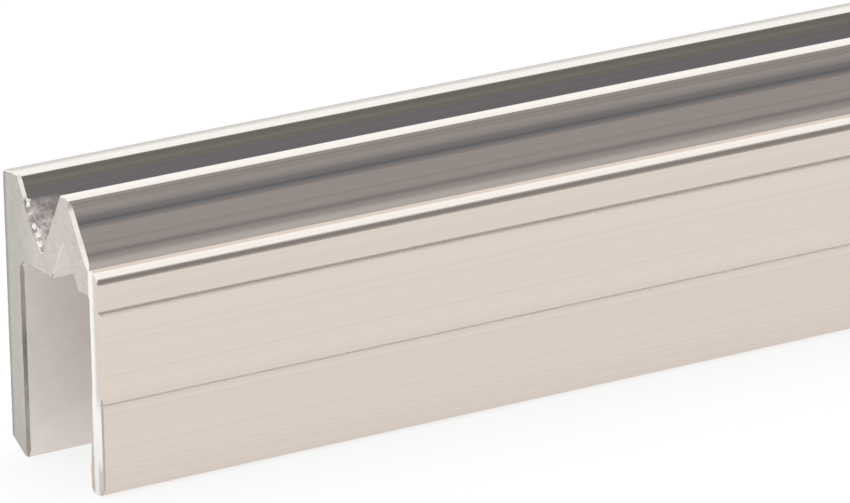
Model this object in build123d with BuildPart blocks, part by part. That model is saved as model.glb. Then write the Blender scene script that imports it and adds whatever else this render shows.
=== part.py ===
from build123d import *
import math
import os

# Edge extrusion for board: one straight length of one constant section.
# X runs along the stock, -Y is the shown front face, +Y the back face, Z is up.
# The origin is the middle of the footprint, level with the feet of the walls.

# Whole stock, millimetres
stock_length = 1000.0
section_height = 22.4

# Board channel between the two walls, open downwards
back_wall_thickness = 2.4
front_wall_thickness = 1.4
board_thickness = 9.5
board_clearance = 0.1
channel_corner_radius = 0.3

# Grip: the front wall thickens towards its foot and holds the board
grip_thickening = 0.6
grip_height = 8.5
grip_foot_height = 1.7

# Foot of the front wall, rounded, and foot of the back wall, bevelled down to a narrow land
foot_outer_radius = 1.0
foot_inner_radius = 0.65
back_foot_land_width = 0.5
back_foot_bevel_height = 1.15
back_foot_radius = 0.4

# Groove along the top, between the back wall and the tongue
flank_angle = 30.0
wall_land_width = 2.4
groove_floor_width = 0.25
web_thickness = 1.65
edge_radius = 0.15

# Strip that falls away along the back edge of the top
wall_bevel_width = 1.3
wall_bevel_drop = 0.12
wall_back_radius = 0.3

# Tongue, and the ledge in front of it
tongue_land_width = 1.1
tongue_front_radius = 0.4
ledge_width = 1.37
ledge_drop = 4.87
ledge_radius = 1.0

# Cavity under the tongue, an upside-down vee open to the channel
cavity_width = 4.0
tongue_wall_thickness = 2.0
cavity_apex_radius = 0.2

# Marking-out scores along the front face
upper_score_below_ledge = 3.05
score_spacing = 7.2
upper_score_width = 0.4
lower_score_width = 0.24

# Widths that follow, from the front face at -Y to the back face at +Y
channel_width = board_thickness + board_clearance + grip_thickening
section_width = back_wall_thickness + channel_width + front_wall_thickness
back_y = section_width / 2
front_y = -back_y
back_wall_y = back_y - back_wall_thickness
front_wall_y = front_y + front_wall_thickness
grip_y = front_wall_y + grip_thickening

# The tongue is set out from the front face, the groove takes what is left
flank_slope = math.tan(math.radians(flank_angle))
ledge_height = section_height - ledge_drop
ledge_back_y = front_y + ledge_width
tongue_front_y = ledge_back_y + ledge_drop * flank_slope
tongue_back_y = tongue_front_y + tongue_land_width
groove_back_y = back_y - wall_land_width
groove_middle_y = (groove_back_y + tongue_back_y) / 2
groove_floor_back_y = groove_middle_y + groove_floor_width / 2
groove_floor_front_y = groove_middle_y - groove_floor_width / 2
groove_depth = (groove_back_y - groove_floor_back_y) / flank_slope
groove_floor_height = section_height - groove_depth
channel_depth = groove_floor_height - web_thickness

# The cavity's back flank runs parallel to the tongue's own, one wall inside it
tongue_wall_run = tongue_wall_thickness / math.cos(math.radians(flank_angle))
tongue_root_y = tongue_back_y + (section_height - channel_depth) * flank_slope
cavity_back_y = tongue_root_y - tongue_wall_run
cavity_front_y = cavity_back_y - cavity_width
cavity_apex_y = (cavity_back_y + cavity_front_y) / 2
cavity_apex_height = channel_depth + cavity_width / 2 / flank_slope

# Heights of the scores, and the sides of the squares whose corners cut them
upper_score_height = ledge_height - upper_score_below_ledge
lower_score_height = upper_score_height - score_spacing
upper_score_side = upper_score_width / math.sqrt(2)
lower_score_side = lower_score_width / math.sqrt(2)


def round_corners(sketch, points, radius):
    """Round the corners of a sketch that stand at the given points."""
    corners = [sketch.vertices().sort_by_distance(point)[0] for point in points]
    fillet(corners, radius=radius)


# Corners of the section as Y and Z
back_bevel_top = (back_y, back_foot_bevel_height)
back_top = (back_y, section_height - wall_bevel_drop)
wall_bevel_edge = (back_y - wall_bevel_width, section_height)
groove_back = (groove_back_y, section_height)
groove_floor_back = (groove_floor_back_y, groove_floor_height)
groove_floor_front = (groove_floor_front_y, groove_floor_height)
tongue_back = (tongue_back_y, section_height)
tongue_front = (tongue_front_y, section_height)
ledge_back = (ledge_back_y, ledge_height)
ledge_front = (front_y, ledge_height)
front_foot = (front_y, 0)
grip_foot = (grip_y, 0)
grip_bottom = (grip_y, grip_foot_height)
grip_top = (front_wall_y, grip_height)
channel_front = (front_wall_y, channel_depth)
cavity_front = (cavity_front_y, channel_depth)
cavity_apex = (cavity_apex_y, cavity_apex_height)
cavity_back = (cavity_back_y, channel_depth)
channel_back = (back_wall_y, channel_depth)
back_foot_inside = (back_wall_y, 0)
back_bevel_foot = (back_wall_y + back_foot_land_width, 0)

# The stock is the section drawn out along its length, cut square at both ends
with BuildPart() as stock:
    with BuildSketch(Plane.YZ) as section:
        with BuildLine():
            # Up the back wall and across its land
            Polyline(back_bevel_foot, back_bevel_top, back_top, wall_bevel_edge, groove_back)
            # Down into the groove, over the tongue and onto the ledge
            Polyline(groove_back, groove_floor_back, groove_floor_front, tongue_back)
            Polyline(tongue_back, tongue_front, ledge_back, ledge_front)
            # Down the front face, round the foot and up the grip
            Polyline(ledge_front, front_foot, grip_foot, grip_bottom, grip_top, channel_front)
            # Along the underside of the web, in and out of the cavity
            Polyline(channel_front, cavity_front, cavity_apex, cavity_back, channel_back)
            # Down the inside of the back wall
            Polyline(channel_back, back_foot_inside, back_bevel_foot)
        make_face()
        round_corners(section, [front_foot], foot_outer_radius)
        round_corners(section, [ledge_front], ledge_radius)
        round_corners(section, [grip_foot], foot_inner_radius)
        round_corners(section, [back_bevel_foot, back_bevel_top], back_foot_radius)
        round_corners(section, [back_foot_inside, groove_back, tongue_back], edge_radius)
        round_corners(section, [channel_front, channel_back], channel_corner_radius)
        round_corners(section, [back_top], wall_back_radius)
        round_corners(section, [tongue_front], tongue_front_radius)
        round_corners(section, [cavity_apex], cavity_apex_radius)
        with Locations((front_y, upper_score_height)):
            Rectangle(upper_score_side, upper_score_side, rotation=45, mode=Mode.SUBTRACT)
        with Locations((front_y, lower_score_height)):
            Rectangle(lower_score_side, lower_score_side, rotation=45, mode=Mode.SUBTRACT)
    extrude(amount=stock_length / 2, both=True)

stock.part.label = "extrusion_profile"

os.makedirs("parts", exist_ok=True)
export_step(stock.part, "parts/extrusion_profile.step")
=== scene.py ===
"""Looks of one straight length of aluminium edge extrusion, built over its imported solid."""

import logging
import math
import random
from dataclasses import dataclass
from enum import Enum

import bmesh
import bpy
from mathutils import Matrix, Vector


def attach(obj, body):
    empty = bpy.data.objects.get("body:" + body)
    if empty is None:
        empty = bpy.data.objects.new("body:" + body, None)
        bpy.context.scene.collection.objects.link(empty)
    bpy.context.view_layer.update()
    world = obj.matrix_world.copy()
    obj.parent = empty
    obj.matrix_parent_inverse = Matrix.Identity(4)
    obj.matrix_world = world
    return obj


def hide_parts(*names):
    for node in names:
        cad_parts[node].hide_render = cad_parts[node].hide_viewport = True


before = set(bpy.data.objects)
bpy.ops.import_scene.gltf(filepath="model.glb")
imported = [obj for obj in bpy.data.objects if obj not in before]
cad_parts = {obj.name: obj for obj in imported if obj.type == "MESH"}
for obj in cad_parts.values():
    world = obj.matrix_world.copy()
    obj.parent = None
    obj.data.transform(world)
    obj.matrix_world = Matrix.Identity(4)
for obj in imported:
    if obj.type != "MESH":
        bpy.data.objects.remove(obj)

log = logging.getLogger("edge_extrusion")

MM = 0.001
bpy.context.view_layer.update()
STOCK_LENGTH = 1000.0

Colour = tuple[float, float, float]
Span = tuple[float, float]

WHITE: Colour = (1.0, 1.0, 1.0)
# Grey of the tongue's die marks, of the saw scratches and of the painted shade along the cut end's
# back edge.
GREY_SHADE_AND_MARKS: Colour = (0.30, 0.305, 0.315)
EVEN_TONE = 0.5


class Zone(Enum):
    """Face attributes that tell the finishes what a stretch of surface is."""

    SAWN = "sawn_end"
    CHANNEL = "inside_channel"
    WALL_FLANK = "wall_flank"
    TONGUE_FLANK = "tongue_flank"
    SCORE = "score_line"
    # dark_edge holds painted shade on eased cut edges: in the channel, by the front foot and under
    # the roof.
    DARK_EDGE = "dark_edge"
    TORN = "torn_edge"


# Shader maths


@dataclass(frozen=True)
class Pattern:
    """A noise pattern: features per millimetre on X, Y and Z, octaves and offset."""

    per_mm: tuple[float, float, float]
    detail: float = 2.0
    rough: float = 0.5
    shift: tuple[float, float, float] = (0.0, 0.0, 0.0)


class Grain(Enum):
    """Patterns of the stock's metal, the drawn ones stretched along its length."""

    BROAD = Pattern((0.0004, 0.55, 0.55))
    LINES = Pattern((0.0005, 2.6, 2.6), rough=0.55, shift=(3.1, 7.7, 1.3))
    HAIRS = Pattern((0.0012, 11.0, 11.0), rough=0.6, shift=(9.4, 2.2, 5.6))
    GRIT = Pattern((0.9, 6.0, 6.0), rough=0.6, shift=(1.0, 4.0, 2.0))
    BLOTCH = Pattern((0.4, 0.8, 0.6), 3.0, 0.6, (5.0, 1.7, 2.9))
    SAW = Pattern((0.5, 1.1, 6.0), rough=0.6, shift=(0.0, 3.3, 8.1))
    RAGGED = Pattern((1.1, 1.7, 1.7), 3.0, 0.6, (2.0, 6.1, 0.4))


Shares = tuple[tuple[Grain, float], ...]


class Signal:
    """One shader value, with the arithmetic that adds its own Math nodes."""

    def __init__(self, sheet: "ShaderSheet", socket: bpy.types.NodeSocket) -> None:
        """Wrap an output socket.

        Args:
            sheet: the node tree that the socket belongs to.
            socket: the output that carries the value.
        """
        self.sheet = sheet
        self.socket = socket

    def _math(self, operation: str, *values: "Signal | float") -> "Signal":
        """Add one Math node.

        Args:
            operation: the Math node's operation.
            values: what goes into its sockets, in order.

        Returns:
            The node's value.
        """
        return self.sheet.add(
            "ShaderNodeMath", {"operation": operation}, dict(enumerate(values))
        )

    def __add__(self, other: "Signal | float") -> "Signal":
        """Return this value plus another."""
        return self._math("ADD", self, other)

    def __radd__(self, other: float) -> "Signal":
        """Return a number plus this value."""
        return self._math("ADD", other, self)

    def __sub__(self, other: "Signal | float") -> "Signal":
        """Return this value less another."""
        return self._math("SUBTRACT", self, other)

    def __rsub__(self, other: float) -> "Signal":
        """Return a number less this value."""
        return self._math("SUBTRACT", other, self)

    def __mul__(self, other: "Signal | float") -> "Signal":
        """Return this value times another."""
        return self._math("MULTIPLY", self, other)

    def __rmul__(self, other: float) -> "Signal":
        """Return a number times this value."""
        return self._math("MULTIPLY", other, self)

    def between(self, low: float, high: float) -> "Signal":
        """Rise smoothly from 0 at low to 1 at high.

        Args:
            low: where the result is 0.
            high: where the result is 1.

        Returns:
            The eased value.
        """
        return self.sheet.add(
            "ShaderNodeMapRange",
            {"interpolation_type": "SMOOTHSTEP", "clamp": True},
            {"Value": self, "From Min": low, "From Max": high},
        )

    def at_most(self, other: "Signal | float") -> "Signal":
        """Return the smaller of two values."""
        return self._math("MINIMUM", self, other)

    def at_least(self, other: "Signal | float") -> "Signal":
        """Return the larger of two values."""
        return self._math("MAXIMUM", self, other)

    def as_share(self) -> "Signal":
        """Return the value held between 0 and 1."""
        return self.at_least(0.0).at_most(1.0)


class ShaderSheet:
    """A node tree with one method that adds any node."""

    def __init__(self, tree: bpy.types.NodeTree) -> None:
        """Start from an empty tree.

        Args:
            tree: the material's or the world's node tree.
        """
        self.tree = tree
        tree.nodes.clear()

    def add(
        self,
        kind: str,
        settings: dict[str, object] | None = None,
        inputs: dict[str | int, object] | None = None,
        output: str | int = 0,
    ) -> Signal:
        """Add one node, set it up and link it.

        Args:
            kind: the node's type name.
            settings: attributes of the node, set before its sockets.
            inputs: values or signals for its sockets, by name or number.
            output: the output that is wanted.

        Returns:
            The wanted output as a signal.
        """
        node = self.tree.nodes.new(kind)
        for name, value in (settings or {}).items():
            setattr(node, name, value)
        for name, value in (inputs or {}).items():
            self._feed(node.inputs[name], value)
        return Signal(self, node.outputs[output] if node.outputs else None)

    def _feed(self, socket: bpy.types.NodeSocket, value: object) -> None:
        """Link a signal to a socket, or set a constant on it.

        Args:
            socket: the input.
            value: a signal, or the constant.
        """
        if isinstance(value, Signal):
            self.tree.links.new(value.socket, socket)
        else:
            socket.default_value = value

    def position_mm(self) -> Signal:
        """Return the point in the part's own frame, in millimetres."""
        place = self.add("ShaderNodeTexCoord", output="Object")
        return self.add(
            "ShaderNodeVectorMath", {"operation": "SCALE"}, {0: place, "Scale": 1 / MM}
        )

    def axes(self, vector: Signal) -> tuple[Signal, Signal, Signal]:
        """Split a vector.

        Args:
            vector: the vector signal.

        Returns:
            Its X, Y and Z values.
        """
        split = self.add("ShaderNodeSeparateXYZ", None, {0: vector})
        x, y, z = split.socket.node.outputs
        return Signal(self, x), Signal(self, y), Signal(self, z)

    def grain(self, place: Signal, pattern: Pattern) -> Signal:
        """Noise with its own pitch along each axis.

        Args:
            place: where it is read, in millimetres.
            pattern: its pitch, octaves and offset.

        Returns:
            The noise, from 0 to 1.
        """
        mapped = self.add(
            "ShaderNodeMapping",
            {"vector_type": "POINT"},
            {"Vector": place, "Scale": pattern.per_mm, "Location": pattern.shift},
        )
        return self.add(
            "ShaderNodeTexNoise",
            {"noise_dimensions": "3D", "normalize": True},
            {
                "Vector": mapped,
                "Scale": 1.0,
                "Detail": pattern.detail,
                "Roughness": pattern.rough,
            },
        )

    def blend(self, share: Signal, low: Signal | Colour, high: Signal | Colour) -> Signal:
        """Mix two colours.

        Args:
            share: how much of the second.
            low: the colour at 0.
            high: the colour at 1.

        Returns:
            The mixed colour.
        """
        mixed = self.add(
            "ShaderNodeMix", {"data_type": "RGBA", "blend_type": "MIX"}, {"Factor": share}
        )
        node = mixed.socket.node
        low_socket, high_socket, mixed_colour = node.inputs[6], node.inputs[7], node.outputs[2]
        for socket, value in ((low_socket, low), (high_socket, high)):
            self._feed(socket, value if isinstance(value, Signal) else (*value, 1.0))
        return Signal(self, mixed_colour)

    def flag(self, zone: Zone) -> Signal:
        """Read one of the part's own face attributes.

        Args:
            zone: which stretch of surface.

        Returns:
            1 on that stretch and 0 elsewhere.
        """
        return self.add(
            "ShaderNodeAttribute",
            {"attribute_name": zone.value, "attribute_type": "GEOMETRY"},
            output="Fac",
        )

    def emit(self, colour: Signal | Colour) -> Signal:
        """Return a glow of one colour at strength 1."""
        shown = colour if isinstance(colour, Signal) else (*colour, 1.0)
        return self.add("ShaderNodeEmission", None, {"Color": shown, "Strength": 1.0})


@dataclass(frozen=True)
class MetalShader:
    """What a metal's principled shader is fed, with the bump's strength and depth."""

    colour: Signal
    metallic: Signal | float
    roughness: Signal
    height: Signal
    strength: float
    depth_mm: float

    def close(self, sheet: ShaderSheet) -> None:
        """Add the bump, the shader and the output.

        Args:
            sheet: the material's sheet.
        """
        bump = sheet.add(
            "ShaderNodeBump",
            None,
            {
                "Strength": self.strength,
                "Distance": self.depth_mm * MM,
                "Height": self.height,
            },
        )
        shader = sheet.add(
            "ShaderNodeBsdfPrincipled",
            None,
            {
                "Base Color": self.colour,
                "Metallic": self.metallic,
                "Roughness": self.roughness,
                "Normal": bump,
            },
        )
        sheet.add("ShaderNodeOutputMaterial", None, {"Surface": shader})


def blank_material(name: str) -> tuple[bpy.types.Material, ShaderSheet]:
    """Make a material with an empty node tree.

    Args:
        name: the material's name.

    Returns:
        The material and its sheet.
    """
    material = bpy.data.materials.new(name)
    material.use_nodes = True
    return material, ShaderSheet(material.node_tree)


# The section


@dataclass(frozen=True)
class Section:
    """Cross-section of the extrusion, in millimetres, as the solid has it."""

    height: float = 22.4
    back_wall: float = 2.4
    front_wall: float = 1.4
    channel: float = 10.2
    channel_round: float = 0.3
    grip: float = 0.6
    grip_height: float = 8.5
    grip_foot: float = 1.7
    foot_outer_round: float = 1.0
    foot_inner_round: float = 0.65
    back_foot_land: float = 0.5
    back_foot_bevel: float = 1.15
    back_foot_round: float = 0.4
    flank_angle: float = 30.0
    wall_land: float = 2.4
    groove_floor: float = 0.25
    web: float = 1.65
    edge_round: float = 0.15
    mouth_round: float = 0.3
    wall_bevel: float = 1.3
    wall_bevel_drop: float = 0.12
    wall_back_round: float = 0.3
    tongue_land: float = 1.1
    tongue_front_round: float = 0.4
    ledge: float = 1.37
    ledge_drop: float = 4.87
    ledge_round: float = 1.0
    cavity: float = 4.0
    tongue_wall: float = 2.0
    cavity_round: float = 0.2
    upper_score_drop: float = 3.05
    score_spacing: float = 7.2
    upper_score: float = 0.4
    lower_score: float = 0.24

    @property
    def slope(self) -> float:
        """Return how far a flank runs sideways for each millimetre that it drops."""
        return math.tan(math.radians(self.flank_angle))

    @property
    def back(self) -> float:
        """Return Y at the back face."""
        return (self.back_wall + self.channel + self.front_wall) / 2

    @property
    def front(self) -> float:
        """Return Y at the front face."""
        return -self.back

    @property
    def inner_back(self) -> float:
        """Return Y at the channel's back side."""
        return self.back - self.back_wall

    @property
    def inner_front(self) -> float:
        """Return Y at the channel's front side."""
        return self.front + self.front_wall

    @property
    def ledge_z(self) -> float:
        """Return the height of the ledge."""
        return self.height - self.ledge_drop

    @property
    def ledge_foot_z(self) -> float:
        """Return the height where the ledge's rounding meets the front face."""
        return self.ledge_z - self.ledge_round

    @property
    def upper_score_z(self) -> float:
        """Return the height of the upper score."""
        return self.ledge_z - self.upper_score_drop

    @property
    def lower_score_z(self) -> float:
        """Return the height of the lower score."""
        return self.upper_score_z - self.score_spacing

    @property
    def ledge_back(self) -> float:
        """Return Y where the ledge meets the tongue."""
        return self.front + self.ledge

    @property
    def tongue_front(self) -> float:
        """Return Y at the front of the tongue's top."""
        return self.ledge_back + self.ledge_drop * self.slope

    @property
    def tongue_back(self) -> float:
        """Return Y at the back of the tongue's top."""
        return self.tongue_front + self.tongue_land

    @property
    def groove_back(self) -> float:
        """Return Y at the back of the groove's mouth."""
        return self.back - self.wall_land

    @property
    def groove_middle(self) -> float:
        """Return Y halfway across the groove."""
        return (self.groove_back + self.tongue_back) / 2

    @property
    def floor_z(self) -> float:
        """Return the height of the groove's floor."""
        reach = self.groove_back - self.groove_middle - self.groove_floor / 2
        return self.height - reach / self.slope

    @property
    def roof_z(self) -> float:
        """Return the height of the channel's roof."""
        return self.floor_z - self.web

    def groove_wall(self, z: float) -> tuple[float, float]:
        """Return the point of the groove's back flank at a height."""
        return self.groove_back - (self.height - z) * self.slope, z

    def corners(self) -> list[tuple[float, float, float]]:
        """Walk the outline.

        Returns:
            Each corner as Y, Z and its rounding radius, up the back wall,
            over the top, down the front and back through the channel.
        """
        half_floor = self.groove_floor / 2
        run = self.tongue_wall / math.cos(math.radians(self.flank_angle))
        cavity_back = self.tongue_back + (self.height - self.roof_z) * self.slope - run
        cavity_front = cavity_back - self.cavity
        apex_z = self.roof_z + self.cavity / 2 / self.slope
        upper, deep = self.upper_score_z, self.upper_score / 2
        lower, shallow = self.lower_score_z, self.lower_score / 2
        return [
            (self.inner_back + self.back_foot_land, 0.0, self.back_foot_round),
            (self.back, self.back_foot_bevel, self.back_foot_round),
            (self.back, self.height - self.wall_bevel_drop, self.wall_back_round),
            (self.back - self.wall_bevel, self.height, 0.0),
            (self.groove_back, self.height, self.mouth_round),
            (self.groove_middle + half_floor, self.floor_z, 0.0),
            (self.groove_middle - half_floor, self.floor_z, 0.0),
            (self.tongue_back, self.height, self.edge_round),
            (self.tongue_front, self.height, self.tongue_front_round),
            (self.ledge_back, self.ledge_z, 0.0),
            (self.front, self.ledge_z, self.ledge_round),
            (self.front, upper + deep, 0.0),
            (self.front + deep, upper, 0.0),
            (self.front, upper - deep, 0.0),
            (self.front, lower + shallow, 0.0),
            (self.front + shallow, lower, 0.0),
            (self.front, lower - shallow, 0.0),
            (self.front, 0.0, self.foot_outer_round),
            (self.inner_front + self.grip, 0.0, self.foot_inner_round),
            (self.inner_front + self.grip, self.grip_foot, 0.0),
            (self.inner_front, self.grip_height, 0.0),
            (self.inner_front, self.roof_z, self.channel_round),
            (cavity_front, self.roof_z, 0.0),
            ((cavity_front + cavity_back) / 2, apex_z, self.cavity_round),
            (cavity_back, self.roof_z, 0.0),
            (self.inner_back, self.roof_z, self.channel_round),
            (self.inner_back, 0.0, self.edge_round),
        ]


# Finishes


@dataclass(frozen=True)
class Surface:
    """What the finishes read at each point of the stock."""

    sheet: ShaderSheet
    along: Signal
    across: Signal
    up: Signal
    zones: dict[Zone, Signal]
    grains: dict[Grain, Signal]

    @classmethod
    def read(cls, sheet: ShaderSheet) -> "Surface":
        """Add the nodes that every part of the finish reads.

        Args:
            sheet: the material's sheet.

        Returns:
            The point, its zones and its grains.
        """
        place = sheet.position_mm()
        along, across, up = sheet.axes(place)
        zones = {zone: sheet.flag(zone) for zone in Zone}
        grains = {grain: sheet.grain(place, grain.value) for grain in Grain}
        return cls(sheet, along, across, up, zones, grains)

    def mixed(self, shares: Shares, even: float = 0.0) -> Signal:
        """Add several grains up.

        Args:
            shares: the grains, each with its weight.
            even: the tone at which a grain counts for nothing.

        Returns:
            The sum of what each grain has above the even tone, times its weight.
        """
        return sum(((self.grains[grain] - even) * weight for grain, weight in shares), 0.0)


@dataclass(frozen=True)
class DrawMarkAndShadeBand:
    """A band along a face at one height: on the flanks a dull or bright track that a spot on the
    die drew, on the front face painted shade.
    """

    height: float
    reach: float
    weight: float

    def trace(self, z: Signal) -> Signal:
        """Follow the mark.

        Args:
            z: height on the part, in millimetres.

        Returns:
            The mark's weight at its middle, easing to 0 at its reach.
        """
        rise = z.between(self.height - self.reach, self.height)
        fall = z.between(self.height, self.height + self.reach)
        return (rise - fall) * self.weight


def traced(marks: tuple[DrawMarkAndShadeBand, ...], z: Signal) -> Signal:
    """Return the weight of all the marks together at a height."""
    return sum((mark.trace(z) for mark in marks), 0.0)


@dataclass(frozen=True)
class TornFlank:
    """The groove's back flank by the near end, where the saw broke out of it."""

    shade: Colour = (0.34, 0.30, 0.29)
    bright: Colour = (0.80, 0.71, 0.68)
    contrast: Span = (0.3, 0.72)
    fades_along: Span = (-498.6, -495.8)
    fades_above: Span = (20.2, 20.9)

    def share(self, at: Surface) -> Signal:
        """Say how torn the surface is.

        Args:
            at: the surface.

        Returns:
            1 where it is torn, fading along the stock and towards the top.
        """
        near = 1.0 - at.along.between(*self.fades_along)
        below = 1.0 - at.up.between(*self.fades_above)
        flank = at.zones[Zone.WALL_FLANK] * near * below
        return flank.at_least(at.zones[Zone.TORN])

    def colour(self, at: Surface) -> Signal:
        """Return the torn metal's colour."""
        ragged = at.grains[Grain.RAGGED].between(*self.contrast)
        return at.sheet.blend(ragged, self.shade, self.bright)


@dataclass(frozen=True)
class DrawnFaces:
    """Drawn metal: warm outside, grey on the tongue, painted shade in the groove, on dark edges
    and front bands, pale inside.
    """

    section: Section
    torn: TornFlank = TornFlank()
    metal: Colour = (0.83, 0.748, 0.68)
    dulled: Colour = (0.765, 0.69, 0.625)
    fresh: Colour = (0.97, 0.93, 0.90)
    grey: Colour = GREY_SHADE_AND_MARKS
    # Colour of the painted shade bands on the front face's ledge rounding and scores.
    front_shade: Colour = (0.36, 0.28, 0.24)
    # Painted shade on the groove's back flank: one tone above its painted reflection step, another
    # below.
    groove_shade_high: Colour = (0.43, 0.415, 0.345)
    groove_shade_low: Colour = (0.41, 0.375, 0.375)
    scored: Colour = (0.93, 0.86, 0.80)
    # Dark colour of the painted shade on eased edges, and of the dark hairs drawn along the
    # groove.
    shade_and_streak_dark: Colour = (0.15, 0.14, 0.125)

    streaks: Shares = ((Grain.BROAD, 0.35), (Grain.LINES, 0.4), (Grain.HAIRS, 0.25))
    dull_streaks: Span = (0.36, 0.66)
    dull_tone: float = 0.55
    wear: Shares = ((Grain.GRIT, 0.3), (Grain.HAIRS, 0.8))
    tongue_wear: Shares = ((Grain.LINES, 0.55), (Grain.HAIRS, 0.95))
    groove_hairs: Shares = ((Grain.HAIRS, 1.3),)
    groove_hairs_even: float = 0.44
    # Height of the painted reflection step, where the flank's mirrored view passes over the
    # tongue.
    groove_reflection_step: Span = (21.2, 21.7)
    inside_wear: Shares = ((Grain.GRIT, 0.35), (Grain.BLOTCH, 0.5))
    inside_even: float = 0.4
    # Base share of painted shade on the eased edges, blotched by noise.
    shade_and_scratch: float = 0.88
    shade_blotches: Shares = ((Grain.BLOTCH, 0.6),)
    front_skin: Span = (0.5, 0.25)

    relief: Shares = ((Grain.LINES, 0.45), (Grain.HAIRS, 0.35), (Grain.GRIT, 0.2))
    channel_relief: float = 0.8
    polish: float = 0.16
    dull_roughness: float = 0.07
    channel_roughness: float = 0.24
    score_roughness: float = 0.42
    torn_roughness: float = 0.3
    mirror_loss: float = 0.3
    mirror_loss_above: float = 0.3
    channel_foot: Span = (0.0, 6.0)

    flank_marks: tuple[DrawMarkAndShadeBand, ...] = (
        DrawMarkAndShadeBand(20.67, 0.62, 0.86),
        DrawMarkAndShadeBand(21.12, 0.34, 0.20),
        DrawMarkAndShadeBand(21.9, 0.34, 0.24),
        DrawMarkAndShadeBand(19.22, 0.2, 0.16),
        DrawMarkAndShadeBand(18.5, 0.34, 0.46),
    )
    foot_polish: DrawMarkAndShadeBand = DrawMarkAndShadeBand(17.75, 0.5, 0.20)

    def _front_shade_bands(self) -> tuple[DrawMarkAndShadeBand, ...]:
        """Place painted shade bands low on the ledge's rounding and at the scores."""
        low_on_round = self.section.ledge_foot_z + 0.33
        return (
            DrawMarkAndShadeBand(low_on_round, 0.27, 0.62),
            DrawMarkAndShadeBand(self.section.upper_score_z, 0.36, 0.28),
            DrawMarkAndShadeBand(self.section.lower_score_z, 0.46, 0.07),
        )

    def _dull(self, at: Surface) -> Signal:
        """Return how dull the draw lines leave the surface."""
        return at.mixed(self.streaks).between(*self.dull_streaks)

    def _groove_painted_shade(self, at: Surface) -> Signal:
        """Work out the groove's back flank: painted shade, with a painted reflection step in its
        tone.

        Args:
            at: the surface.

        Returns:
            Its painted shade colour, with dark hairs drawn along it.
        """
        # Painted reflection: the tone steps where the flank's mirrored view passes over the
        # tongue.
        high = at.up.between(*self.groove_reflection_step)
        tone = at.sheet.blend(high, self.groove_shade_low, self.groove_shade_high)
        dark_hairs = at.mixed(self.groove_hairs, self.groove_hairs_even)
        return at.sheet.blend(dark_hairs, tone, self.shade_and_streak_dark)

    def _front_shade_share(self, at: Surface) -> Signal:
        """Work out where the front face takes painted shade bands.

        Args:
            at: the surface.

        Returns:
            The share of painted shade, and 0 away from the front face.
        """
        face = self.section.back
        behind_face, at_face = self.front_skin
        on_front = (at.across * -1.0).between(face - behind_face, face - at_face)
        return traced(self._front_shade_bands(), at.up) * on_front

    def _outside(self, at: Surface) -> Signal:
        """Lay one finish over another outside the channel.

        Args:
            at: the surface.

        Returns:
            Its colour.
        """
        blend, zones = at.sheet.blend, at.zones
        worn = self._dull(at) * self.dull_tone + at.mixed(self.wear, EVEN_TONE)
        colour = blend(worn, self.metal, self.dulled)
        tracks = traced(self.flank_marks, at.up) + at.mixed(self.tongue_wear, EVEN_TONE)
        greyed = (tracks * zones[Zone.TONGUE_FLANK]).as_share()
        colour = blend(greyed, colour, self.grey)
        # The groove's back flank takes painted shade.
        colour = blend(zones[Zone.WALL_FLANK], colour, self._groove_painted_shade(at))
        colour = blend(zones[Zone.SCORE], colour, self.scored)
        # Painted shade in bands low on the ledge's rounding and at the scores.
        colour = blend(self._front_shade_share(at), colour, self.front_shade)
        # Painted shade on the eased cut edges, blotched by noise.
        painted_shade = zones[Zone.DARK_EDGE] * (self.shade_and_scratch + at.mixed(self.shade_blotches, EVEN_TONE))
        colour = blend(painted_shade.at_most(1.0), colour, self.shade_and_streak_dark)
        return blend(self.torn.share(at), colour, self.torn.colour(at))

    def _inside(self, at: Surface) -> Signal:
        """Return the colour inside the channel."""
        worn = at.mixed(self.inside_wear, self.inside_even)
        return at.sheet.blend(worn, self.fresh, self.dulled)

    def colour(self, at: Surface) -> Signal:
        """Return the drawn metal's colour."""
        return at.sheet.blend(at.zones[Zone.CHANNEL], self._outside(at), self._inside(at))

    def metallic(self, at: Surface) -> Signal:
        """Work out how much the surface mirrors.

        Args:
            at: the surface.

        Returns:
            1 outside, and less in the channel, least of all above its foot.
        """
        above_foot = at.up.between(*self.channel_foot) * self.mirror_loss_above
        return 1.0 - at.zones[Zone.CHANNEL] * (self.mirror_loss + above_foot)

    def roughness(self, at: Surface) -> Signal:
        """Work out how rough the drawn metal is.

        Args:
            at: the surface.

        Returns:
            Its roughness: polished outside, matt in the channel, scores and torn patch.
        """
        foot = self.foot_polish.trace(at.up) * at.zones[Zone.TONGUE_FLANK]
        rough = self.polish + self._dull(at) * self.dull_roughness + foot
        rough = rough + at.zones[Zone.CHANNEL] * self.channel_roughness
        rough = rough + at.zones[Zone.SCORE] * self.score_roughness
        return rough + self.torn.share(at) * self.torn_roughness

    def height(self, at: Surface) -> Signal:
        """Return the height that the bump reads, with the channel more pitted."""
        pitted = at.zones[Zone.CHANNEL] * at.grains[Grain.GRIT]
        return at.mixed(self.relief) + pitted * self.channel_relief


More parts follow.
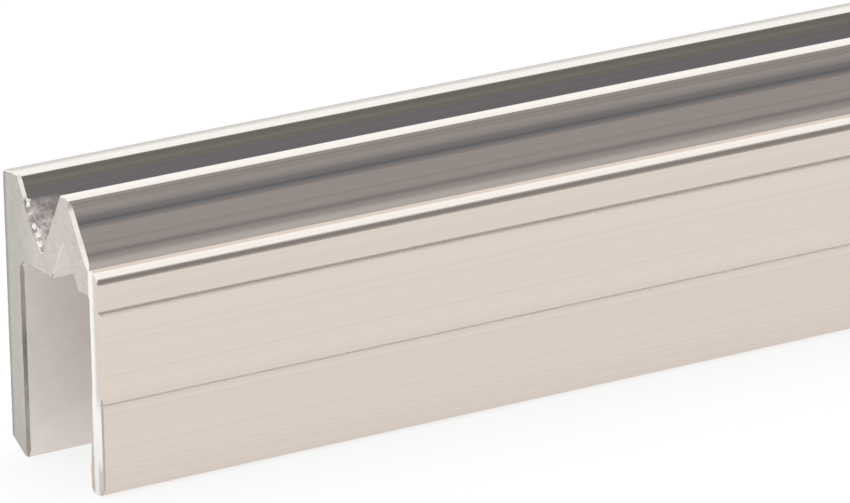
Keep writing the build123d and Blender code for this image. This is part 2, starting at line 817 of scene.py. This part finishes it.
@dataclass(frozen=True)
class SawnFace:
    """The cut end: a grey back wall, a warm crown, a painted glint on the front wall, painted
    shade on the back edge, saw marks.
    """

    grey: Colour = (0.56, 0.54, 0.49)
    warm: Colour = (0.71, 0.635, 0.59)
    # Colour of the painted glint on the front wall's cut end.
    bright: Colour = (0.99, 0.975, 0.955)
    # Grey of the painted shade along the back edge, and of the saw scratches.
    shade_and_scratch: Colour = GREY_SHADE_AND_MARKS

    warms_forward: Span = (-5.2, -2.2)
    warmth: float = 0.8
    blotches: Shares = ((Grain.BLOTCH, 2.0),)
    front_wall: Span = (5.45, 5.7)
    outer_side: Span = (6.0, 6.45)
    outer_loss: float = 0.8
    bright_foot_from: Span = (1.5, 3.2)
    bright_foot_to: Span = (6.0, 8.5)
    # A strip of painted shade along the back edge of the cut end.
    back_edge: Span = (6.45, 6.75)
    back_shade: float = 0.62
    shade_blotches: Shares = ((Grain.BLOTCH, 0.6),)

    saw_marks: Span = (0.40, 0.80)
    scratch: float = 0.29
    scratch_loss_on_bright: float = 0.2
    scratch_threshold: float = 0.02
    saw_relief: float = 1.4
    even_roughness: float = 0.42
    blotch_roughness: float = 0.12

    def _painted_glint(self, at: Surface) -> Signal:
        """Work out where the front wall's cut end carries a painted glint.

        Args:
            at: the surface.

        Returns:
            1 on the wall's inner side, and on its outer side only by the foot.
        """
        forward = at.across * -1.0
        by_foot = at.up.between(*self.bright_foot_from) - at.up.between(*self.bright_foot_to)
        plain = forward.between(*self.outer_side) * (1.0 - by_foot) * self.outer_loss
        return forward.between(*self.front_wall) * (1.0 - plain)

    def colour(self, at: Surface) -> Signal:
        """Work out the cut end's colour.

        Args:
            at: the surface.

        Returns:
            Its colour.
        """
        blend = at.sheet.blend
        forward = (at.across * -1.0).between(*self.warms_forward)
        warmth = forward * self.warmth + at.mixed(self.blotches, EVEN_TONE)
        colour = blend(warmth.as_share(), self.grey, self.warm)
        # Painted glint: the front wall's cut end is painted bright, on its outer side only by the
        # foot.
        bright = self._painted_glint(at)
        colour = blend(bright, colour, self.bright)
        # Painted shade along the back edge of the cut end.
        at_back = at.across.between(*self.back_edge)
        painted_shade = at_back * (self.back_shade + at.mixed(self.shade_blotches, EVEN_TONE))
        colour = blend(painted_shade.at_least(0.0), colour, self.shade_and_scratch)
        saw = at.grains[Grain.SAW].between(*self.saw_marks)
        scratched = saw * (self.scratch - bright * self.scratch_loss_on_bright)
        return blend(scratched - self.scratch_threshold, colour, self.shade_and_scratch)

    def roughness(self, at: Surface) -> Signal:
        """Return how rough the cut end is."""
        return self.even_roughness + at.grains[Grain.BLOTCH] * self.blotch_roughness

    def height(self, at: Surface) -> Signal:
        """Return the height that the bump reads."""
        return at.grains[Grain.SAW] * self.saw_relief


@dataclass(frozen=True)
class MillAluminium:
    """Mill finish: drawn faces as they leave the die, and sawn ends."""

    drawn: DrawnFaces
    sawn: SawnFace = SawnFace()
    strength: float = 0.35
    depth_mm: float = 0.01

    def build(self) -> bpy.types.Material:
        """Make the finish.

        Returns:
            The material.
        """
        material, sheet = blank_material("drawn_aluminium")
        at = Surface.read(sheet)
        cut = at.zones[Zone.SAWN]
        whole = 1.0 - cut
        drawn, sawn = self.drawn, self.sawn
        MetalShader(
            colour=sheet.blend(cut, drawn.colour(at), sawn.colour(at)),
            metallic=drawn.metallic(at),
            roughness=drawn.roughness(at) * whole + sawn.roughness(at) * cut,
            height=drawn.height(at) * whole + sawn.height(at) * cut,
            strength=self.strength,
            depth_mm=self.depth_mm,
        ).close(sheet)
        return material


@dataclass(frozen=True)
class TornBurr:
    """Bright torn metal of the chips that the saw left on the cut edge."""

    fresh: Colour = (0.99, 0.97, 0.95)
    shaded: Colour = (0.72, 0.65, 0.62)
    crumble: Pattern = Pattern((4.0, 4.0, 4.0), 3.0, 0.6)
    shaded_range: Span = (0.5, 0.75)
    even_roughness: float = 0.2
    torn_roughness: float = 0.2
    strength: float = 0.6
    depth_mm: float = 0.04

    def build(self) -> bpy.types.Material:
        """Make the finish.

        Returns:
            The material.
        """
        material, sheet = blank_material("torn_burr")
        torn = sheet.grain(sheet.position_mm(), self.crumble)
        MetalShader(
            colour=sheet.blend(torn.between(*self.shaded_range), self.fresh, self.shaded),
            metallic=1.0,
            roughness=self.even_roughness + torn * self.torn_roughness,
            height=torn,
            strength=self.strength,
            depth_mm=self.depth_mm,
        ).close(sheet)
        return material


# The stock


@dataclass(frozen=True)
class WornStretch:
    """A stretch of the cut edge that was worn further back than the rest."""

    start: tuple[float, float]
    stop: tuple[float, float]
    size: float
    fade: float = 0.4

    def share(self, y: float, z: float) -> float:
        """Weigh a point of the outline by how near the stretch it lies.

        Args:
            y: the point's Y, in millimetres.
            z: the point's height, in millimetres.

        Returns:
            1 on the stretch, easing to 0 at the fade distance from it.
        """
        start, stop, point = Vector(self.start), Vector(self.stop), Vector((y, z))
        run = stop - start
        place = min(max((point - start).dot(run) / run.length_squared, 0.0), 1.0)
        away = (point - (start + run * place)).length
        near = max(1.0 - away / self.fade, 0.0)
        return near * near * (3.0 - 2.0 * near)


def placed(name: str, shape: bmesh.types.BMesh, finish: bpy.types.Material) -> bpy.types.Object:
    """Turn a finished shape into an object that rides on the part.

    Args:
        name: the piece's name.
        shape: the shape, which is freed.
        finish: its material.

    Returns:
        The piece.
    """
    mesh = bpy.data.meshes.new(name)
    shape.to_mesh(mesh)
    shape.free()
    mesh.materials.append(finish)
    piece = bpy.data.objects.new(name, mesh)
    bpy.context.scene.collection.objects.link(piece)
    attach(piece, "root")
    return piece


@dataclass
class Stock:
    """The length of extrusion, with its roundings drawn fine and its cut ends eased."""

    finish: bpy.types.Material
    section: Section
    length: float = STOCK_LENGTH
    round_steps: int = 10
    perimeter_step: float = 0.45
    end_ease: float = 0.08
    ease_spread: Span = (0.8, 1.2)
    corner_angle: float = 24.0
    end_facing: float = 0.9
    side_facing: float = 0.2
    flank_facing: float = 0.97
    up_facing: float = 0.3
    slack: float = 0.01
    score_slack: float = 0.02
    score_reach: float = 0.25
    round_margin: float = 0.1
    torn_from: float = 20.3
    torn_to: float = 18.2
    torn_margin: float = 0.3
    # Shares of painted shade on eased edges: the channel's back wall, the front foot and under the
    # roof.
    channel_shade: float = 0.78
    channel_shade_middle: float = 9.0
    channel_shade_reach: float = 5.0
    foot_shade: float = 0.45
    foot_shade_top: float = 8.0
    roof_shade: float = 0.6
    roof_shade_reach: float = 0.4

    def build(self) -> bpy.types.Object:
        """Model the stock and put it in place of its solid.

        Returns:
            The finished piece.
        """
        shape = bmesh.new()
        self._draw_section(shape)
        self._round_corners(shape)
        self._divide_outline(shape)
        self._extrude(shape)
        self._ease_ends(shape)
        bmesh.ops.recalc_face_normals(shape, faces=shape.faces[:])
        self._mark_zones(shape)
        self._mark_sharp(shape)
        piece = placed("extrusion_stock", shape, self.finish)
        even = piece.modifiers.new("even_normals", "WEIGHTED_NORMAL")
        even.keep_sharp = True
        even.weight = 100
        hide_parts("extrusion_profile")
        return piece

    def _draw_section(self, shape: bmesh.types.BMesh) -> None:
        """Lay out the section with sharp corners at the near end.

        Args:
            shape: the mesh being built.
        """
        x = -self.length / 2 * MM
        corners = [
            shape.verts.new((x, y * MM, z * MM)) for y, z, _ in self.section.corners()
        ]
        shape.faces.new(corners)

    def _round_corners(self, shape: bmesh.types.BMesh) -> None:
        """Round each corner that has a radius.

        Args:
            shape: the mesh being built.
        """
        wanted = [(y * MM, z * MM, r * MM) for y, z, r in self.section.corners() if r]
        for y, z, radius in wanted:
            corner = min(shape.verts, key=lambda v: (v.co.y - y) ** 2 + (v.co.z - z) ** 2)
            arms = [(e.other_vert(corner).co - corner.co) for e in corner.link_edges]
            half = arms[0].angle(arms[1]) / 2
            bmesh.ops.bevel(
                shape,
                geom=[corner],
                offset=radius / math.tan(half),
                offset_type="OFFSET",
                segments=self.round_steps,
                profile=0.5,
                affect="VERTICES",
                material=-1,
            )

    def _divide_outline(self, shape: bmesh.types.BMesh) -> None:
        """Cut the long straight runs, so that the ends can be worked.

        Args:
            shape: the mesh being built.
        """
        for edge in list(shape.edges):
            cuts = int(edge.calc_length() / (self.perimeter_step * MM))
            if cuts:
                bmesh.ops.subdivide_edges(shape, edges=[edge], cuts=cuts)

    def _extrude(self, shape: bmesh.types.BMesh) -> None:
        """Draw the section out along its length.

        Args:
            shape: the mesh being built, which holds the section's one face.
        """
        made = bmesh.ops.extrude_face_region(shape, geom=shape.faces[:], use_keep_orig=True)
        moved = [g for g in made["geom"] if isinstance(g, bmesh.types.BMVert)]
        bmesh.ops.translate(shape, verts=moved, vec=(self.length * MM, 0, 0))

    def _worn(self) -> tuple[WornStretch, ...]:
        """Name the stretches of each cut edge that were worn the most.

        Returns:
            The stretches.
        """
        cut = self.section
        channel_wall = WornStretch(
            (cut.inner_back, 0.4), (cut.inner_back, cut.roof_z - 0.5), 0.25
        )
        tongue_flank = WornStretch(
            (cut.tongue_front - 0.3, cut.height - 0.5),
            (cut.ledge_back + 0.3, cut.ledge_z + 0.5),
            0.27,
        )
        roof_corner = WornStretch((cut.inner_back - 0.3, cut.roof_z), (1.6, cut.roof_z), 0.15)
        groove_mouth = WornStretch(cut.groove_wall(22.2), cut.groove_wall(20.9), 0.24)
        torn_flank = WornStretch(
            cut.groove_wall(self.torn_from), cut.groove_wall(self.torn_to), 0.42, 0.5
        )
        front_foot = WornStretch((cut.front, 7.5), (cut.front, 1.6), 0.13)
        return channel_wall, tongue_flank, roof_corner, groove_mouth, torn_flank, front_foot

    def _ease_ends(self, shape: bmesh.types.BMesh) -> None:
        """Break the edges of both cut ends.

        Args:
            shape: the mesh being built.
        """
        shape.normal_update()
        worn = self._worn()
        most_corners_of_a_side = 20
        for face in [f for f in shape.faces if len(f.verts) > most_corners_of_a_side]:
            outward = face.calc_center_median().x
            bmesh.ops.inset_region(
                shape, faces=[face], thickness=self.end_ease * MM, depth=0.0
            )
            rim = set(face.verts)
            for inner in face.verts:
                outer = next(
                    e.other_vert(inner) for e in inner.link_edges
                    if e.other_vert(inner) not in rim
                )
                y, z = outer.co.y / MM, outer.co.z / MM
                ease = self.end_ease * random.uniform(*self.ease_spread)
                for stretch in worn:
                    ease += (stretch.size - self.end_ease) * stretch.share(y, z)
                inner.co = outer.co + (inner.co - outer.co) * (ease / self.end_ease)
                outer.co.x -= math.copysign(ease * MM, outward)

    def _mark_zones(self, shape: bmesh.types.BMesh) -> None:
        """Say what each face is to the finish.

        Args:
            shape: the mesh being built.
        """
        layers = {zone: shape.faces.layers.float.new(zone.value) for zone in Zone}
        for face in shape.faces:
            found = self._zones(face.calc_center_median() / MM, face.normal)
            for zone, layer in layers.items():
                face[layer] = float(found[zone])

    def _zones(self, centre: Vector, facing: Vector) -> dict[Zone, float]:
        """Say which zones a face is in.

        Args:
            centre: the face's middle, in millimetres.
            facing: the face's normal.

        Returns:
            Each zone's share: 0 or 1, or in between for the dark edge.
        """
        cut = self.section
        slant = math.radians(cut.flank_angle)
        to_front = Vector((0.0, -math.cos(slant), math.sin(slant)))
        sawn = abs(facing.x) > self.end_facing
        drawn = abs(facing.x) <= self.side_facing
        eased = not sawn and not drawn
        enclosed = cut.inner_front - self.slack < centre.y < cut.inner_back + self.slack
        slanted = facing.dot(to_front) > self.flank_facing
        behind = centre.y > cut.groove_middle
        diagonal = abs(abs(facing.z) - abs(facing.y)) < self.score_slack
        by_front = centre.y < cut.front + self.score_reach
        off_round = cut.foot_outer_round + self.round_margin < centre.z < cut.ledge_foot_z
        return {
            Zone.SAWN: sawn,
            Zone.CHANNEL: enclosed and drawn and facing.z < self.up_facing,
            Zone.WALL_FLANK: slanted and behind,
            Zone.TONGUE_FLANK: slanted and not behind,
            Zone.SCORE: diagonal and by_front and off_round,
            Zone.DARK_EDGE: self._painted_shade_share(centre, facing) if eased else 0.0,
            Zone.TORN: eased and self._is_torn(centre, facing),
        }

    def _is_torn(self, centre: Vector, facing: Vector) -> bool:
        """Say whether an eased face lies where the saw broke out of the groove.

        Args:
            centre: the face's middle, in millimetres.
            facing: the face's normal.

        Returns:
            True on the lower half of the groove's back edge at the near end.
        """
        at_near_end = centre.x < 0.0 and centre.y > self.section.groove_middle
        up_front = facing.y < -0.2 and facing.z > 0.1
        low, high = self.torn_to - self.torn_margin, self.torn_from + self.torn_margin
        return at_near_end and up_front and low < centre.z < high

    def _painted_shade_share(self, centre: Vector, facing: Vector) -> float:
        """Say how much painted shade an eased edge gets.

        Args:
            centre: the face's middle, in millimetres.
            facing: the face's normal.

        Returns:
            The share of painted shade.
        """
        cut = self.section
        to_front = facing.y < -self.up_facing
        if centre.y > cut.inner_back - 0.5 and to_front and centre.z < cut.roof_z:
            away = abs(centre.z - self.channel_shade_middle) / self.channel_shade_reach
            return self.channel_shade + (1.0 - self.channel_shade) * max(0.0, 1.0 - away)
        if centre.y < cut.inner_front and to_front and centre.z < self.foot_shade_top:
            return self.foot_shade
        by_roof = abs(centre.z - cut.roof_z) < self.roof_shade_reach
        if facing.z < -self.up_facing and by_roof:
            return self.roof_shade
        return 0.0

    def _mark_sharp(self, shape: bmesh.types.BMesh) -> None:
        """Keep real corners sharp and let roundings run smooth.

        Args:
            shape: the mesh being built.
        """
        for face in shape.faces:
            face.smooth = True
        for edge in shape.edges:
            if len(edge.link_faces) == 2:
                edge.smooth = edge.calc_face_angle(0.0) < math.radians(self.corner_angle)


@dataclass(frozen=True)
class Chip:
    """One torn chip on the groove's cut edge: its height, breadth and set-back."""

    height: float
    breadth: float
    inset: float


@dataclass
class SawBurrs:
    """Chips that the saw tore along the lower half of the groove's back flank."""

    finish: bpy.types.Material
    section: Section
    length: float = STOCK_LENGTH
    chips: tuple[Chip, ...] = (
        Chip(20.46, 0.80, 0.20),
        Chip(20.20, 0.62, 0.16),
        Chip(19.70, 0.26, 0.02),
        Chip(18.80, 0.60, 0.18),
        Chip(18.34, 1.00, 0.14),
        Chip(18.30, 0.60, -0.08),
        Chip(17.66, 0.60, 0.10),
        Chip(17.56, 0.44, -0.06),
    )
    points: int = 11
    end_gap: float = 0.01
    proportions: tuple[float, float, float] = (0.7, 0.8, 1.0)

    def build(self) -> bpy.types.Object:
        """Model the chips as one piece.

        Returns:
            The finished piece.
        """
        shape = bmesh.new()
        for chip in self.chips:
            self._tear(shape, chip)
        bmesh.ops.recalc_face_normals(shape, faces=shape.faces[:])
        return placed("saw_burrs", shape, self.finish)

    def _tear(self, shape: bmesh.types.BMesh, chip: Chip) -> None:
        """Add one chip as the hull of scattered points.

        Args:
            shape: the mesh being built.
            chip: where it sits and how broad it is.
        """
        y, z = self.section.groove_wall(chip.height)
        spread = [chip.breadth / 2 * share for share in self.proportions]
        end = -self.length / 2 + self.end_gap
        middle = Vector((end + spread[0], y + chip.inset, z))
        reach = Vector(spread)
        corners = []
        for _ in range(self.points):
            way = Vector([random.gauss(0.0, 1.0) for _ in range(3)]).normalized()
            spot = middle + Vector([w * r for w, r in zip(way, reach)])
            spot.x = max(spot.x, end)
            corners.append(shape.verts.new(spot * MM))
        hull = bmesh.ops.convex_hull(shape, input=corners)
        inside = [g for g in hull["geom_interior"] if isinstance(g, bmesh.types.BMVert)]
        bmesh.ops.delete(shape, geom=inside, context="VERTS")


# Studio


@dataclass(frozen=True)
class FloorPaper:
    """Pale paper, near white to the camera and warm in the metal's mirror."""

    paper: Colour = (0.86, 0.85, 0.84)
    fibre: Colour = (0.83, 0.82, 0.81)
    fibre_pattern: Pattern = Pattern((0.02, 0.02, 0.02), 3.0, 0.6)
    fibre_share: float = 0.15
    mirrored: Colour = (0.86, 0.835, 0.82)
    past_end: Span = (STOCK_LENGTH / 2, STOCK_LENGTH / 2 + 8.0)
    to_back: Span = (-20.0, 20.0)
    white_share: float = 0.8
    mirrored_share: float = 0.85

    def build(self) -> bpy.types.Material:
        """Make the finish.

        Returns:
            The material.
        """
        material, sheet = blank_material("floor_paper")
        place = sheet.position_mm()
        fibre = sheet.grain(place, self.fibre_pattern) * self.fibre_share
        paper = sheet.blend(fibre, self.paper, self.fibre)
        lit = sheet.add("ShaderNodeBsdfDiffuse", None, {"Color": paper})
        seen = sheet.add("ShaderNodeLightPath", output="Is Camera Ray")
        shown = sheet.add(
            "ShaderNodeMixShader", None, {0: seen * self.white_share, 1: lit, 2: sheet.emit(WHITE)}
        )

        # What the metal mirrors: warm, but white past the stock's ends on its back side
        x, y, _ = sheet.axes(place)
        open_paper = x.at_least(x * -1.0).between(*self.past_end) * y.between(*self.to_back)
        sheen = sheet.emit(sheet.blend(open_paper, self.mirrored, WHITE))
        glossy = sheet.add("ShaderNodeLightPath", output="Is Glossy Ray")
        whole = sheet.add(
            "ShaderNodeMixShader", None, {0: glossy * self.mirrored_share, 1: shown, 2: sheen}
        )
        sheet.add("ShaderNodeOutputMaterial", None, {"Surface": whole})
        return material


@dataclass(frozen=True)
class Room:
    """Plain surroundings: pale behind and overhead, unlit in front of the stock."""

    low_wall: Colour = (0.64, 0.655, 0.665)
    overhead: Colour = (1.16, 1.2, 1.24)
    unlit: Colour = (0.325, 0.32, 0.325)
    lifts: Span = (0.12, 0.27)
    ahead_x: float = 0.17
    ahead_y: float = -0.985
    ahead_range: Span = (0.15, 0.42)
    unlit_top: Span = (0.64, 0.71)
    unlit_foot: Span = (-0.05, 0.5)
    unlit_at_foot: float = 0.45

    def build(self) -> None:
        """Make the world that the metal mirrors, with a white backdrop for the camera."""
        world = bpy.data.worlds.new("studio_room")
        bpy.context.scene.world = world
        world.use_nodes = True
        sheet = ShaderSheet(world.node_tree)
        look = sheet.add("ShaderNodeTexCoord", output="Generated")
        x, y, z = sheet.axes(look)
        ahead = (x * self.ahead_x + y * self.ahead_y).between(*self.ahead_range)
        low = 1.0 - z.between(*self.unlit_top)
        rise = z.between(*self.unlit_foot) * (1.0 - self.unlit_at_foot)
        unlit = ahead * low * (self.unlit_at_foot + rise)
        room = sheet.blend(z.between(*self.lifts), self.low_wall, self.overhead)
        mirrored = sheet.blend(unlit, room, self.unlit)
        seen = sheet.add("ShaderNodeLightPath", output="Is Camera Ray")
        colour = sheet.blend(seen, mirrored, WHITE)
        glow = sheet.add("ShaderNodeBackground", None, {"Color": colour, "Strength": 1.0})
        sheet.add("ShaderNodeOutputWorld", None, {"Surface": glow})


@dataclass(frozen=True)
class Softbox:
    """A square soft lamp, with its place and aim in metres and its power in watts."""

    name: str = "top_softbox"
    place: tuple[float, float, float] = (0.0, 0.1, 1.6)
    aim: tuple[float, float, float] = (0.0, 0.0, 0.0)
    size: float = 2.4
    power: float = 14.0

    def build(self) -> None:
        """Hang the lamp, unseen in the metal's mirror."""
        lamp = bpy.data.lights.new(self.name, "AREA")
        lamp.shape = "SQUARE"
        lamp.size = self.size
        lamp.energy = self.power
        holder = bpy.data.objects.new(self.name, lamp)
        holder.location = self.place
        line = Vector(self.place) - Vector(self.aim)
        holder.rotation_euler = line.to_track_quat("Z", "Y").to_euler()
        holder.visible_glossy = False
        bpy.context.scene.collection.objects.link(holder)


@dataclass
class Studio:
    """Pale floor, plain surroundings and one soft lamp."""

    floor_size: float = 6.0

    def build(self) -> None:
        """Set up the floor, the surroundings and the lamp."""
        self._floor()
        Room().build()
        Softbox().build()
        bpy.context.scene.view_settings.view_transform = "Standard"

    def _floor(self) -> None:
        """Lay the floor that the stock stands on."""
        shape = bmesh.new()
        bmesh.ops.create_grid(shape, x_segments=4, y_segments=4, size=self.floor_size / 2)
        mesh = bpy.data.meshes.new("studio_floor")
        shape.to_mesh(mesh)
        shape.free()
        mesh.materials.append(FloorPaper().build())
        floor = bpy.data.objects.new("studio_floor", mesh)
        bpy.context.scene.collection.objects.link(floor)


@dataclass
class PhotoCamera:
    """A long lens close over the near end, as the picture was taken."""

    aim_mm: tuple[float, float, float] = (-471.44, -7.0, 14.07)
    azimuth: float = -31.902
    elevation: float = 17.627
    roll: float = -1.194
    distance_mm: float = 584.39
    focal_px: float = 7700.0
    width_px: float = 850.0
    sensor_mm: float = 36.0
    clip: Span = (0.01, 60.0)

    def build(self) -> bpy.types.Object:
        """Place the camera.

        Returns:
            The camera.
        """
        data = bpy.data.cameras.new("photo_camera")
        data.sensor_fit = "HORIZONTAL"
        data.sensor_width = self.sensor_mm
        data.lens = self.sensor_mm * self.focal_px / self.width_px
        data.clip_start, data.clip_end = self.clip
        turn, rise = math.radians(self.azimuth), math.radians(self.elevation)
        level = Vector((math.sin(turn), -math.cos(turn), 0.0))
        back = level * math.cos(rise) + Vector((0.0, 0.0, math.sin(rise)))
        upright = back.to_track_quat("Z", "Y").to_matrix().to_4x4()
        tilt = Matrix.Rotation(math.radians(self.roll), 4, "Z")
        spot = Vector(self.aim_mm) * MM + back * self.distance_mm * MM
        camera = bpy.data.objects.new("photo_camera", data)
        camera.matrix_world = Matrix.Translation(spot) @ upright @ tilt
        bpy.context.scene.collection.objects.link(camera)
        bpy.context.scene.camera = camera
        return camera


def main() -> None:
    """Build the camera, the studio and the stock, and report each piece."""
    logging.basicConfig(level=logging.INFO, format="%(name)s: %(message)s")
    random.seed(22)
    PhotoCamera().build()
    Studio().build()
    section = Section()
    metal = MillAluminium(DrawnFaces(section)).build()
    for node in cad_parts.values():
        node.data.materials.clear()
        node.data.materials.append(metal)
    stock = Stock(metal, section).build()
    burrs = SawBurrs(TornBurr().build(), section).build()
    for piece in (stock, burrs):
        log.info("%s: %d faces", piece.name, len(piece.data.polygons))


if __name__ == "__main__":
    main()
